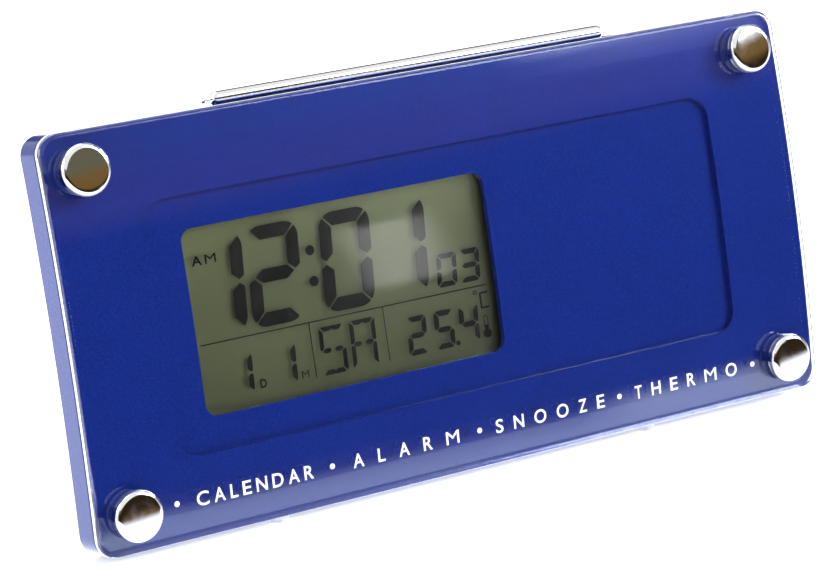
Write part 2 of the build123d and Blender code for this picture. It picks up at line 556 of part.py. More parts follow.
with BuildPart() as rear_cover:
    add(flange)
    # tab that closes the snooze bar's pocket from behind
    with BuildSketch(face_plane(POCKET_BACK + 0.1, up=(TAB_LOW + TAB_TOP) / 2)):
        Rectangle(POCKET_L - 2 * BAR_PLAY, TAB_TOP - TAB_LOW)
    extrude(amount=-(SLAB_T - POCKET_BACK - 0.1))
    with BuildSketch(face_plane(HOUSING_FROM)):
        RectangleRounded(HOUSING_W, HOUSING_H, HOUSING_R)
    extrude(amount=-(HOUSING_BACK - HOUSING_FROM), taper=HOUSING_TAPER)
    fillet(rear_cover.faces().sort_by(DEPTH_AXIS)[-1].edges(), 1.6)
    # cups for the cap screws
    for stud in STUDS:
        with BuildSketch(stud_plane(*stud, inward=BOSS_END + 0.1)):
            Circle(BOSS_R)
        extrude(amount=-(SLAB_T - BOSS_END - 0.1))
        with BuildSketch(stud_plane(*stud, inward=SLAB_T + 2)):
            Circle(CAP_HEAD_R + 0.4)
        extrude(amount=2 + SLAB_T - FLANGE_FRONT, mode=Mode.SUBTRACT)
        with BuildSketch(stud_plane(*stud, inward=SLAB_T)):
            Circle(1.45)
        extrude(amount=5, mode=Mode.SUBTRACT)
    add(housing_cavity.part, mode=Mode.SUBTRACT)
    # room for the collars, springs and stems of the snooze bar
    for x in (-STEM_X, 0, STEM_X):
        with BuildSketch(face_plane(0, x=x, up=33.0)):
            Rectangle(2 * COLLAR_R + 0.8, 9)
        extrude(amount=-(STEM_DEPTH + COLLAR_R + 0.2), mode=Mode.SUBTRACT)
    # battery bay and its door seat
    with BuildSketch(face_plane(BAY_FLOOR, x=BAY_X)):
        Rectangle(BAY_RIGHT - BAY_LEFT, 2 * BAY_HALF_H)
    extrude(amount=-20, mode=Mode.SUBTRACT)
    with BuildSketch(face_plane(DOOR_FRONT - 0.1, x=DOOR_X, up=(SEAT_LOW + SEAT_HIGH) / 2)):
        Rectangle(DOOR_SEAT_W, SEAT_HIGH - SEAT_LOW)
    extrude(amount=-5, mode=Mode.SUBTRACT)
    with BuildSketch(side_plane(DOOR_X, DOOR_AXIS_UP, DOOR_AXIS_DEPTH)):
        Circle(DOOR_BARREL_R + DOOR_GAP)
    extrude(amount=DOOR_SEAT_W / 2, both=True, mode=Mode.SUBTRACT)
    with BuildSketch(side_plane(DOOR_X, DOOR_AXIS_UP, DOOR_AXIS_DEPTH)):
        Circle(PEG_R + 0.06)
    extrude(amount=DOOR_SEAT_W / 2 + PEG_L + 0.2, both=True, mode=Mode.SUBTRACT)
    # finger notch below the door
    with BuildSketch(face_plane(HOUSING_BACK - 1.0, x=DOOR_X, up=SEAT_LOW)):
        SlotOverall(12, 4)
    extrude(amount=-5, mode=Mode.SUBTRACT)
    # recess of the stand leg, with the holes for its pin
    with BuildSketch(face_plane(LEG_RECESS_FLOOR, up=LEG_RECESS_TOP - 40)):
        Rectangle(LEG_RECESS_W, 80)
    extrude(amount=-10, mode=Mode.SUBTRACT)
    with BuildSketch(side_plane(0, LEG_AXIS_UP, LEG_AXIS_DEPTH)):
        Circle(PIN_R + 0.02)
    extrude(amount=LEG_RECESS_W / 2 + WALL - 0.3, both=True, mode=Mode.SUBTRACT)
    # finger notch beside the leg
    with BuildSketch(face_plane(HOUSING_BACK - 2.0, up=-24)):
        SlotOverall(LEG_RECESS_W + 12, 8)
    extrude(amount=-5, mode=Mode.SUBTRACT)
    # button holes, switch slot and screw holes of the button board
    for x, up in BUTTONS.values():
        with BuildSketch(face_plane(HOUSING_BACK + 1, x, up)):
            Circle(BUTTON_R + 0.2)
        extrude(amount=3.5, mode=Mode.SUBTRACT)
    with BuildSketch(face_plane(HOUSING_BACK + 1, SWITCH_X + SWITCH_TRAVEL / 2, SWITCH_UP)):
        Rectangle(SWITCH_TRAVEL + 3.4, 3.4)
    extrude(amount=3.5, mode=Mode.SUBTRACT)
    for x, up in PANEL_SCREWS:
        with BuildSketch(face_plane(PANEL_BACK, x, up)):
            Circle(SMALL_SCREW_R + 0.05)
        extrude(amount=-3.6, mode=Mode.SUBTRACT)
    # slots in front of the sounder
    for row in (-2, -1, 0, 1, 2):
        offset = SOUNDER_SLOT_PITCH * row
        slot_l = 2 * sqrt((SOUNDER_R - 1.5) ** 2 - offset ** 2)
        with BuildSketch(face_plane(HOUSING_BACK + 1, SOUNDER_X, SOUNDER_UP + offset)):
            SlotOverall(slot_l, 1.2)
        extrude(amount=4, mode=Mode.SUBTRACT)
    # air slots for the temperature sensor, through the bottom of the housing
    for row in range(5):
        with BuildSketch(top_plane(-HOUSING_H / 2 - 1, x=-50 + 4 * row, depth=16)):
            SlotOverall(7, 1.4, rotation=90)
        extrude(amount=8, mode=Mode.SUBTRACT)
rear_cover.part.label = "rear_cover"
export_step(rear_cover.part, "parts/rear_cover.step")

with BuildPart() as cap_screws:
    for stud in STUDS:
        with BuildSketch(stud_plane(*stud, inward=FLANGE_FRONT)):
            Circle(CAP_HEAD_R)
        extrude(amount=-CAP_HEAD_T)
        with BuildSketch(stud_plane(*stud, inward=FLANGE_FRONT)):
            Circle(CAP_SCREW_R)
        extrude(amount=FLANGE_FRONT - 0.4)
        with BuildSketch(stud_plane(*stud, inward=FLANGE_FRONT + CAP_HEAD_T)):
            Rectangle(3.0, 0.7)
            Rectangle(0.7, 3.0)
        extrude(amount=0.8, mode=Mode.SUBTRACT)
cap_screws.part.label = "cap_screws"
export_step(cap_screws.part, "parts/cap_screws.step")

# ---------------------------------------------------------------- battery door and cells
with BuildPart() as battery_door:
    with BuildSketch(face_plane(DOOR_FRONT, x=DOOR_X, up=(DOOR_LOW + DOOR_AXIS_UP) / 2)):
        Rectangle(DOOR_RIGHT - DOOR_LEFT, DOOR_AXIS_UP - DOOR_LOW)
    extrude(amount=-(DOOR_AXIS_DEPTH + DOOR_BARREL_R - DOOR_FRONT))
    with BuildSketch(side_plane(DOOR_X, DOOR_AXIS_UP, DOOR_AXIS_DEPTH)):
        Circle(DOOR_BARREL_R)
    extrude(amount=(DOOR_RIGHT - DOOR_LEFT) / 2, both=True)
    with BuildSketch(side_plane(DOOR_X, DOOR_AXIS_UP, DOOR_AXIS_DEPTH)):
        Circle(PEG_R)
    extrude(amount=(DOOR_RIGHT - DOOR_LEFT) / 2 + PEG_L, both=True)
    # grip ridges
    for row in range(4):
        with BuildSketch(face_plane(DOOR_AXIS_DEPTH + DOOR_BARREL_R, x=DOOR_X, up=DOOR_LOW + 3 + 2 * row)):
            Rectangle(12, 0.8)
        extrude(amount=0.5, mode=Mode.SUBTRACT)
battery_door.part.label = "battery_door"
export_step(battery_door.part, "parts/battery_door.step")

CELL_NUB_R, CELL_NUB_L = 1.9, 0.8
CONTACT_T = 0.3
CONTACT_TOUCH = 0.05       # between a cell's nub and its contact plate
for name, x, way in (("battery_left", CELL_XS[0], 1), ("battery_right", CELL_XS[1], -1)):
    with BuildPart() as battery:
        # the nub touches its contact plate at one end of the bay
        nub_end = way * (BAY_HALF_H - CONTACT_T - CONTACT_TOUCH)
        body_end = nub_end - way * CELL_NUB_L
        with BuildSketch(top_plane(body_end, x=x, depth=CELL_DEPTH)):
            Circle(CELL_R)
        extrude(amount=-way * CELL_L)
        fillet(battery.edges().filter_by(GeomType.CIRCLE), 0.5)
        with BuildSketch(top_plane(body_end - way * 0.2, x=x, depth=CELL_DEPTH)):
            Circle(CELL_NUB_R)
        extrude(amount=way * (CELL_NUB_L + 0.2))
    battery.part.label = name
    export_step(battery.part, f"parts/{name}.step")

with BuildPart() as battery_contacts:
    for x in CELL_XS:
        for way in (-1, 1):
            with BuildSketch(top_plane(way * BAY_HALF_H, x=x, depth=CELL_DEPTH)):
                RectangleRounded(9.0, 8.0, 1.0)
            extrude(amount=-way * CONTACT_T)
battery_contacts.part.label = "battery_contacts"
export_step(battery_contacts.part, "parts/battery_contacts.step")

BATTERY_WIRE = 0.25        # radius of the spring wire
BATTERY_COIL_R = 2.8
BATTERY_COILS = 4
with BuildPart() as battery_springs:
    for x, way in ((CELL_XS[0], 1), (CELL_XS[1], -1)):
        cell_end = way * (BAY_HALF_H - CONTACT_T - CONTACT_TOUCH - CELL_NUB_L - CELL_L)
        plate_face = -way * (BAY_HALF_H - CONTACT_T)
        low = min(cell_end, plate_face) + BATTERY_WIRE + 0.02
        rise = abs(cell_end - plate_face) - 2 * BATTERY_WIRE - 0.04
        with BuildLine():
            coil = Helix(rise / BATTERY_COILS, rise, BATTERY_COIL_R, center=at(x, low, CELL_DEPTH),
                         direction=UPWARD)
        with BuildSketch(Plane(coil @ 0, z_dir=coil % 0)):
            Circle(BATTERY_WIRE)
        sweep(is_frenet=True)
battery_springs.part.label = "battery_springs"
export_step(battery_springs.part, "parts/battery_springs.step")

WIRE_R = 0.6
WIRE_DEPTH = 14.0          # where the wires leave the bay
WIRE_X = 14.0              # where they reach the board
with BuildPart() as battery_wires:
    for up in (18.0, 14.0):
        route = [at(BAY_LEFT - BAY_WALL - 0.05, up, WIRE_DEPTH), at(WIRE_X + 3, up, WIRE_DEPTH),
                 at(WIRE_X, up - 1, WIRE_DEPTH - 3), at(WIRE_X, up - 1, BOARD_BACK + 0.02)]
        with BuildLine():
            path = FilletPolyline(*route, radius=2 * WIRE_R)
        with BuildSketch(Plane(path @ 0, z_dir=path % 0)):
            Circle(WIRE_R)
        sweep()
battery_wires.part.label = "battery_wires"
export_step(battery_wires.part, "parts/battery_wires.step")

# ---------------------------------------------------------------- rear buttons and alarm switch
with BuildPart() as button_board:
    with BuildSketch(face_plane(PANEL_FRONT, PANEL_X, PANEL_UP)):
        RectangleRounded(PANEL_W, PANEL_H, 1.0)
    extrude(amount=-BOARD_T)
    for x, up in PANEL_SCREWS:
        with BuildSketch(face_plane(PANEL_FRONT, x, up)):
            Circle(SMALL_HOLE_R)
        extrude(amount=-BOARD_T, mode=Mode.SUBTRACT)
button_board.part.label = "button_board"
export_step(button_board.part, "parts/button_board.step")

with BuildPart() as button_board_screws:
    for x, up in PANEL_SCREWS:
        with BuildSketch(face_plane(PANEL_FRONT, x, up)):
            Circle(SMALL_HEAD_R)
        extrude(amount=SMALL_HEAD_T)
        with BuildSketch(face_plane(PANEL_FRONT, x, up)):
            Circle(SMALL_SCREW_R)
        extrude(amount=-4.0)
button_board_screws.part.label = "button_board_screws"
export_step(button_board_screws.part, "parts/button_board_screws.step")

FLANGE_T = 1.1
FLANGE_BACK = REAR_INNER - 0.2
DOME_TOP = FLANGE_BACK - FLANGE_T
for name, (x, up) in BUTTONS.items():
    with BuildPart() as button:
        with BuildSketch(face_plane(DOME_TOP, x, up)):
            Circle(BUTTON_R + 1.0)
        extrude(amount=-FLANGE_T)
        with BuildSketch(face_plane(FLANGE_BACK, x, up)):
            Circle(BUTTON_R)
        extrude(amount=-(HOUSING_BACK + BUTTON_PROUD - FLANGE_BACK))
        fillet(button.faces().sort_by(DEPTH_AXIS)[-1].edges(), 0.6)
    button.part.label = f"{name}_button"
    export_step(button.part, f"parts/{name}_button.step")

    with BuildPart() as dome:
        tall = DOME_TOP - PANEL_BACK
        with BuildSketch(side_plane(x, up=up, depth=PANEL_BACK)):
            with BuildLine():
                Polyline((0, 2.4), (0, 3.4), (0.5, 3.4), (tall * 0.6, 2.4), (tall, 2.0), (tall, 0),
                         (tall * 0.7, 0), (tall * 0.7, 1.5), (0, 2.4))
            make_face()
        revolve(axis=Axis(at(x, up, PANEL_BACK), BACKWARD))
    dome.part.label = f"{name}_dome"
    export_step(dome.part, f"parts/{name}_dome.step")

with BuildPart() as alarm_switch_body:
    with BuildSketch(face_plane(PANEL_BACK, SWITCH_X + SWITCH_TRAVEL / 2, SWITCH_UP)):
        Rectangle(9.0, 4.4)
    extrude(amount=-2.6)
    with BuildSketch(face_plane(PANEL_BACK + 1.0, SWITCH_X + SWITCH_TRAVEL / 2, SWITCH_UP)):
        Rectangle(SWITCH_TRAVEL + 2.4, 2.4)
    extrude(amount=-3, mode=Mode.SUBTRACT)
alarm_switch_body.part.label = "alarm_switch_body"
export_step(alarm_switch_body.part, "parts/alarm_switch_body.step")

KNOB_W = 2.8
KNOB_BACK = HOUSING_BACK + 0.9
with BuildPart() as alarm_switch_knob:
    with BuildSketch(face_plane(PANEL_BACK + 1.1, SWITCH_X, SWITCH_UP)):
        Rectangle(2.0, 2.0)
    extrude(amount=-4)
    with BuildSketch(face_plane(REAR_INNER - 0.6, SWITCH_X, SWITCH_UP)):
        Rectangle(KNOB_W, KNOB_W)
    extrude(amount=-(KNOB_BACK - REAR_INNER + 0.6))
    for row in (-0.8, 0, 0.8):
        with BuildSketch(face_plane(KNOB_BACK, SWITCH_X + row, SWITCH_UP)):
            Rectangle(0.35, KNOB_W)
        extrude(amount=0.35, mode=Mode.SUBTRACT)
alarm_switch_knob.part.label = "alarm_switch_knob"
export_step(alarm_switch_knob.part, "parts/alarm_switch_knob.step")

RIBBON_T = 0.3
RIBBON_W = 8.0
RIBBON_LEFT, RIBBON_UP = -44.0, -12.0
RIBBON_LEG = 4.0           # straight part against each board
RIBBON_OUTER = (PANEL_FRONT - BOARD_BACK) / 2 - 0.02
RIBBON_INNER = RIBBON_OUTER - RIBBON_T
with BuildPart() as ribbon_cable:
    with BuildSketch(side_plane(RIBBON_LEFT, up=RIBBON_UP, depth=(PANEL_FRONT + BOARD_BACK) / 2)):
        with BuildLine():
            CenterArc((0, 0), RIBBON_INNER, 180, 180)
            Line((RIBBON_INNER, 0), (RIBBON_INNER, RIBBON_LEG))
            Line((RIBBON_INNER, RIBBON_LEG), (RIBBON_OUTER, RIBBON_LEG))
            Line((RIBBON_OUTER, RIBBON_LEG), (RIBBON_OUTER, 0))
            CenterArc((0, 0), RIBBON_OUTER, 0, -180)
            Line((-RIBBON_OUTER, 0), (-RIBBON_OUTER, RIBBON_LEG))
            Line((-RIBBON_OUTER, RIBBON_LEG), (-RIBBON_INNER, RIBBON_LEG))
            Line((-RIBBON_INNER, RIBBON_LEG), (-RIBBON_INNER, 0))
        make_face()
    extrude(amount=RIBBON_W)
ribbon_cable.part.label = "ribbon_cable"
export_step(ribbon_cable.part, "parts/ribbon_cable.step")

with BuildPart() as sounder_disc:
    with BuildSketch(face_plane(REAR_INNER - 1.02, SOUNDER_X, SOUNDER_UP)):
        Circle(SOUNDER_R + 0.6)
    extrude(amount=0.4)
    with BuildSketch(face_plane(REAR_INNER - 1.42, SOUNDER_X, SOUNDER_UP)):
        Circle(SOUNDER_R - 3)
    extrude(amount=0.3)
sounder_disc.part.label = "sounder_disc"
export_step(sounder_disc.part, "parts/sounder_disc.step")

# ---------------------------------------------------------------- stand leg
PIN_AT = at(0, LEG_AXIS_UP, LEG_AXIS_DEPTH)
LEG_SWING = radians(LEG_OPEN - LEAN)           # from straight down, towards the back
LEG_DOWN = Vector(0, sin(LEG_SWING), -cos(LEG_SWING))
LEG_BACK = Vector(0, cos(LEG_SWING), sin(LEG_SWING))
LEG_L = (PIN_AT.Z - PAD_T / 2) / cos(LEG_SWING)
FLOOR_ROOM = 20


def leg_plane(thickness):
    """Plane along the open leg: x across, y up the leg."""
    return Plane(PIN_AT + LEG_BACK * thickness, x_dir=ACROSS, z_dir=-LEG_BACK)


with BuildPart() as stand_leg:
    with BuildSketch(leg_plane(LEG_INNER)):
        with BuildLine():
            Polyline((-LEG_W / 2, LEG_HEEL), (LEG_W / 2, LEG_HEEL), (LEG_W / 2, -LEG_SHOULDER),
                     (LEG_TIP_W / 2, -LEG_L - 2), (-LEG_TIP_W / 2, -LEG_L - 2),
                     (-LEG_W / 2, -LEG_SHOULDER), (-LEG_W / 2, LEG_HEEL))
        make_face()
    extrude(amount=-(LEG_OUTER - LEG_INNER))
    with BuildSketch(Plane(PIN_AT, x_dir=LEG_BACK, z_dir=ACROSS)):
        Circle(LEG_OUTER)
    extrude(amount=LEG_W / 2, both=True)
    with BuildSketch(Plane(PIN_AT, x_dir=LEG_BACK, z_dir=ACROSS)):
        Circle(PIN_R + 0.06)
    extrude(amount=LEG_W, both=True, mode=Mode.SUBTRACT)
    # shallow panel in the outer face
    with BuildSketch(leg_plane(LEG_OUTER)):
        with Locations((0, -LEG_L / 2 - 2)):
            RectangleRounded(LEG_TIP_W - 7, LEG_L - 16, 3)
    extrude(amount=0.6, mode=Mode.SUBTRACT)
    # cut level, one pad's thickness above the floor
    with BuildSketch(Plane.XY.offset(PAD_T)):
        Rectangle(WIDTH, WIDTH)
    extrude(amount=-FLOOR_ROOM, mode=Mode.SUBTRACT)
stand_leg.part.label = "stand_leg"
export_step(stand_leg.part, "parts/stand_leg.step")

with BuildPart() as stand_pin:
    with BuildSketch(side_plane(0, LEG_AXIS_UP, LEG_AXIS_DEPTH)):
        Circle(PIN_R)
    extrude(amount=LEG_RECESS_W / 2 + WALL - 0.5, both=True)
stand_pin.part.label = "stand_pin"
export_step(stand_pin.part, "parts/stand_pin.step")

TIP_Y = (PIN_AT + LEG_DOWN * LEG_L + LEG_BACK * ((LEG_INNER + LEG_OUTER) / 2)).Y
with BuildPart() as stand_foot_pad:
    with BuildSketch(Plane((0, TIP_Y, 0))):
        RectangleRounded(LEG_TIP_W - 3, 2.2, 0.6)
    extrude(amount=PAD_T)
stand_foot_pad.part.label = "stand_foot_pad"
export_step(stand_foot_pad.part, "parts/stand_foot_pad.step")

with BuildPart() as front_feet:
    for x in (-FOOT_X, FOOT_X):
        with BuildSketch(top_plane(-HEIGHT / 2 + SHELL_INSET - 0.02, x=x, depth=FOOT_DEPTH)):
            Circle(FOOT_R)
        extrude(amount=-5)
        with BuildSketch(top_plane(-HEIGHT / 2 + SHELL_INSET - 0.02, x=x, depth=FOOT_DEPTH)):
            Circle(FOOT_PLUG_R)
        extrude(amount=FOOT_PLUG_L)
    with BuildSketch(Plane.XY):
        Rectangle(WIDTH, WIDTH)
    extrude(amount=-FLOOR_ROOM, mode=Mode.SUBTRACT)
front_feet.part.label = "front_feet"
export_step(front_feet.part, "parts/front_feet.step")
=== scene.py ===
import json
import math

import bmesh
import bpy
from mathutils import Matrix, Vector


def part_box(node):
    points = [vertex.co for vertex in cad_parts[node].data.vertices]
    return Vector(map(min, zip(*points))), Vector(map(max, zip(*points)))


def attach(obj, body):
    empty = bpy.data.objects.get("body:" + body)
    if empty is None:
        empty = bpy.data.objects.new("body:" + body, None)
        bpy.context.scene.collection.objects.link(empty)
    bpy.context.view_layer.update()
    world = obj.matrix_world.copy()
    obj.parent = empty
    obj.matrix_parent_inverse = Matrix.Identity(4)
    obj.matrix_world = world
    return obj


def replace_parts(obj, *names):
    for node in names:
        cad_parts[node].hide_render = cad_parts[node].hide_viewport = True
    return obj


# Looks of the leaning desk alarm clock: clear bowed plate on chrome caps over a blue metallic body,
# with a segment display behind it. Sizes below are in millimetres unless they say metres.

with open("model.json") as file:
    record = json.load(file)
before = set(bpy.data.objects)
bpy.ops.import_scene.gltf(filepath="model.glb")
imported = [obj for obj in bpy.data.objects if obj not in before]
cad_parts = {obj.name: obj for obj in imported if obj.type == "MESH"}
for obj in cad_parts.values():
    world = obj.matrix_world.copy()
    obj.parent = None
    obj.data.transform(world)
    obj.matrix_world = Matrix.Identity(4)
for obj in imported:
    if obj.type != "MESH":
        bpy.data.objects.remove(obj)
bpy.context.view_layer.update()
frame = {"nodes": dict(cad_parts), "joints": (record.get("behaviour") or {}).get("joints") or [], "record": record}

MM = 0.001

# ---------------------------------------------------------------- the clock's own directions
joints = {joint["name"]: joint for joint in frame["joints"]}
ACROSS = Vector((1.0, 0.0, 0.0))
UPWARD = -Vector(joints["snooze_press"]["axis"])
BACKWARD = UPWARD.cross(ACROSS)

PLATE_HALF_HEIGHT = 40.0
PLATE_BOW = 1.8                    # the plate's middle stands this far before its edges
BOW_RADIUS = (PLATE_HALF_HEIGHT ** 2 + PLATE_BOW ** 2) / (2 * PLATE_BOW)
GLASS_FRONT = 3.3                  # depths are counted backwards from the plate's front edges
GLASS_THICK = 1.1
GLASS_JOIN = GLASS_FRONT + GLASS_THICK


def middle(node):
    low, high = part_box(node)
    return (low + high) / 2


glass_middle = middle("lcd_front_glass")
FACE = glass_middle - ACROSS * glass_middle.x - BACKWARD * (GLASS_FRONT + GLASS_THICK / 2) * MM


def at(across, up, depth):
    """World place of a point given in the clock's own directions, from between the plate's edges."""
    return FACE + (ACROSS * across + UPWARD * up + BACKWARD * depth) * MM


def plate_front(up):
    """Depth of the plate's bowed front face at this height."""
    return BOW_RADIUS - PLATE_BOW - math.sqrt(BOW_RADIUS ** 2 - up ** 2)


# ---------------------------------------------------------------- shader building blocks
def plug(tree, socket, value):
    if isinstance(value, bpy.types.NodeSocket):
        tree.links.new(value, socket)
    else:
        socket.default_value = value


def add(tree, kind, sockets=None, **settings):
    made = tree.nodes.new("ShaderNode" + kind)
    for name, value in settings.items():
        setattr(made, name, value)
    for name, value in (sockets or {}).items():
        plug(tree, made.inputs[name], value)
    return made


def surface(name, sockets):
    """A material with one Principled shader: the material, its tree and the shader."""
    material = bpy.data.materials.new(name)
    material.use_nodes = True
    tree = material.node_tree
    shader = tree.nodes["Principled BSDF"]
    for socket, value in sockets.items():
        plug(tree, shader.inputs[socket], value)
    return material, tree, shader


def place(tree):
    return add(tree, "TexCoord").outputs["Object"]


def noise(tree, size, detail=2.0, stretch=(1.0, 1.0, 1.0)):
    """Soft random pattern whose blotches are about this many millimetres wide."""
    point = add(tree, "Mapping", {"Vector": place(tree), "Scale": stretch}).outputs["Vector"]
    pattern = add(tree, "TexNoise", {"Vector": point, "Scale": 1 / (size * MM), "Detail": detail})
    return pattern.outputs["Fac"]


def cells(tree, size):
    """A random value for each of many small cells, this many millimetres wide."""
    pattern = add(tree, "TexVoronoi", {"Vector": place(tree), "Scale": 1 / (size * MM)})
    return add(tree, "SeparateColor", {"Color": pattern.outputs["Color"]}).outputs["Red"]


def spread(tree, value, low, high, new_low, new_high):
    sockets = {"Value": value, "From Min": low, "From Max": high, "To Min": new_low, "To Max": new_high}
    return add(tree, "MapRange", sockets).outputs["Result"]


def soft_step(tree, value, low, high):
    sockets = {"Value": value, "From Min": low, "From Max": high}
    return add(tree, "MapRange", sockets, interpolation_type="SMOOTHSTEP").outputs["Result"]


def reckon(tree, operation, first, second=0.0):
    made = add(tree, "Math", operation=operation)
    plug(tree, made.inputs[0], first)
    plug(tree, made.inputs[1], second)
    return made.outputs["Value"]


def blend(tree, share, first, second):
    """A colour between two others: share 0 gives the first and 1 the second."""
    made = add(tree, "Mix", data_type="RGBA")
    plug(tree, made.inputs["Factor"], share)
    plug(tree, made.inputs[6], (*first, 1.0) if isinstance(first, tuple) else first)
    plug(tree, made.inputs[7], (*second, 1.0) if isinstance(second, tuple) else second)
    return made.outputs[2]


def bump(tree, height, strength, depth):
    """Relief this many millimetres deep."""
    sockets = {"Height": height, "Strength": strength, "Distance": depth * MM}
    return add(tree, "Bump", sockets).outputs["Normal"]


# ---------------------------------------------------------------- materials
def blue_metallic():
    """Deep blue paint with fine bright flake under a clear lacquer."""
    paint, tree, shader = surface("blue_metallic", {
        "Roughness": 0.22, "Specular IOR Level": 0.1,
        "Coat Weight": 0.6, "Coat Roughness": 0.05, "Coat IOR": 1.5})
    flake = cells(tree, 0.11)
    share = spread(tree, soft_step(tree, flake, 0.55, 0.85), 0.0, 1.0, 0.12, 0.4)
    cloud = spread(tree, noise(tree, 9.0), 0.3, 0.7, 0.0, 1.0)
    deep = blend(tree, cloud, (0.0008, 0.0012, 0.072), (0.0012, 0.002, 0.090))
    plug(tree, shader.inputs["Base Color"], blend(tree, share, deep, (0.02, 0.085, 0.50)))
    plug(tree, shader.inputs["Metallic"], share)
    plug(tree, shader.inputs["Normal"], bump(tree, flake, 0.05, 0.01))
    return paint


def let_lamps_through(tree, shader, tint):
    """Lamps shine through the sheet, so what lies behind it is lit."""
    rays = add(tree, "LightPath")
    through = reckon(tree, "MAXIMUM", rays.outputs["Is Shadow Ray"], rays.outputs["Is Diffuse Ray"])
    open_way = add(tree, "BsdfTransparent", {"Color": (*tint, 1.0)})
    both = add(tree, "MixShader", {"Fac": through})
    tree.links.new(shader.outputs["BSDF"], both.inputs[1])
    tree.links.new(open_way.outputs["BSDF"], both.inputs[2])
    tree.links.new(both.outputs["Shader"], tree.nodes["Material Output"].inputs["Surface"])


def clear_acrylic():
    """Polished clear sheet whose sawn side faces are left satin white."""
    sheet, tree, shader = surface("clear_acrylic", {"Base Color": (0.985, 0.99, 1.0, 1.0), "IOR": 1.49})
    facing = add(tree, "VectorMath", {0: add(tree, "TexCoord").outputs["Normal"], 1: tuple(BACKWARD)},
                 operation="DOT_PRODUCT").outputs["Value"]
    satin = soft_step(tree, reckon(tree, "ABSOLUTE", facing), 0.22, 0.10)
    plug(tree, shader.inputs["Transmission Weight"], spread(tree, satin, 0.0, 1.0, 1.0, 0.25))
    plug(tree, shader.inputs["Roughness"], spread(tree, satin, 0.0, 1.0, 0.0, 0.4))
    let_lamps_through(tree, shader, (0.96, 0.97, 0.99))
    return sheet


def soft_clear(name, tone, share, grain):
    """Milky soft plastic."""
    milky, tree, shader = surface(name, {
        "Base Color": (*tone, 1.0), "IOR": 1.42, "Transmission Weight": share})
    plug(tree, shader.inputs["Roughness"], spread(tree, noise(tree, grain), 0.3, 0.7, 0.25, 0.45))
    return milky


def chrome():
    """Bright plating with the faintest haze and handling marks."""
    plating, tree, shader = surface("chrome", {"Base Color": (0.83, 0.83, 0.84, 1.0), "Metallic": 1.0})
    haze = noise(tree, 3.0, 5.0)
    plug(tree, shader.inputs["Roughness"], spread(tree, haze, 0.35, 0.75, 0.02, 0.09))
    plug(tree, shader.inputs["Normal"], bump(tree, noise(tree, 1.6), 0.05, 0.01))
    return plating


def plated_steel(name, tone):
    """Nickel-plated steel with drawing marks."""
    metal, tree, shader = surface(name, {"Metallic": 1.0})
    marks = noise(tree, 0.25, 4.0, (1.0, 1.0, 0.15))
    dark = tuple(0.8 * channel for channel in tone)
    plug(tree, shader.inputs["Base Color"], blend(tree, marks, dark, tone))
    plug(tree, shader.inputs["Roughness"], spread(tree, marks, 0.3, 0.7, 0.2, 0.42))
    return metal


def moulded(name, tone, grain, roughness, relief=0.02):
    """Moulded plastic with a fine eroded texture of this grain size."""
    plastic, tree, shader = surface(name, {})
    speck = noise(tree, grain, 3.0)
    cloud = noise(tree, 12.0)
    dark = tuple(0.82 * channel for channel in tone)
    plug(tree, shader.inputs["Base Color"], blend(tree, cloud, dark, tone))
    plug(tree, shader.inputs["Roughness"], spread(tree, speck, 0.3, 0.7, roughness - 0.07, roughness + 0.09))
    plug(tree, shader.inputs["Normal"], bump(tree, speck, 0.35, relief))
    return plastic


def display_glass():
    """Thin display glass under a matt film, which blurs what it reflects."""
    pane = bpy.data.materials.new("display_glass")
    pane.use_nodes = True
    tree = pane.node_tree
    tree.nodes.remove(tree.nodes["Principled BSDF"])
    film = spread(tree, noise(tree, 0.3), 0.3, 0.7, 0.10, 0.14)
    gloss = add(tree, "BsdfAnisotropic", {"Color": (0.9, 0.93, 0.9, 1.0), "Roughness": film})
    open_way = add(tree, "BsdfTransparent", {"Color": (0.955, 0.965, 0.935, 1.0)})
    both = add(tree, "MixShader", {"Fac": add(tree, "Fresnel", {"IOR": 1.5}).outputs["Fac"]})
    tree.links.new(open_way.outputs["BSDF"], both.inputs[1])
    tree.links.new(gloss.outputs["BSDF"], both.inputs[2])
    tree.links.new(both.outputs["Shader"], tree.nodes["Material Output"].inputs["Surface"])
    return pane


def display_reflector():
    """Grey-green foil with a fine silky grain."""
    foil, tree, shader = surface("display_reflector", {"Metallic": 0.15, "Specular IOR Level": 0.3})
    silk = noise(tree, 0.15, 3.0, (1.0, 0.4, 0.4))
    cloud = noise(tree, 14.0)
    tone = blend(tree, cloud, (0.48, 0.51, 0.275), (0.52, 0.54, 0.305))
    sheen = spread(tree, silk, 0.3, 0.7, 0.0, 0.25)
    plug(tree, shader.inputs["Base Color"], blend(tree, sheen, tone, (0.36, 0.39, 0.20)))
    plug(tree, shader.inputs["Roughness"], spread(tree, silk, 0.3, 0.7, 0.5, 0.7))
    return foil


def segment_black():
    ink, tree, shader = surface("segment_black", {"Specular IOR Level": 0.2})
    grain = noise(tree, 0.2)
    plug(tree, shader.inputs["Base Color"], blend(tree, grain, (0.006, 0.006, 0.009), (0.010, 0.010, 0.014)))
    plug(tree, shader.inputs["Roughness"], spread(tree, grain, 0.3, 0.7, 0.5, 0.65))
    return ink


def print_white():
    """White ink with slightly uneven cover."""
    ink, tree, shader = surface("print_white", {})
    cover = noise(tree, 0.25, 3.0)
    plug(tree, shader.inputs["Base Color"], blend(tree, cover, (0.82, 0.84, 0.88), (0.95, 0.96, 0.97)))
    plug(tree, shader.inputs["Roughness"], spread(tree, cover, 0.3, 0.7, 0.35, 0.5))
    return ink


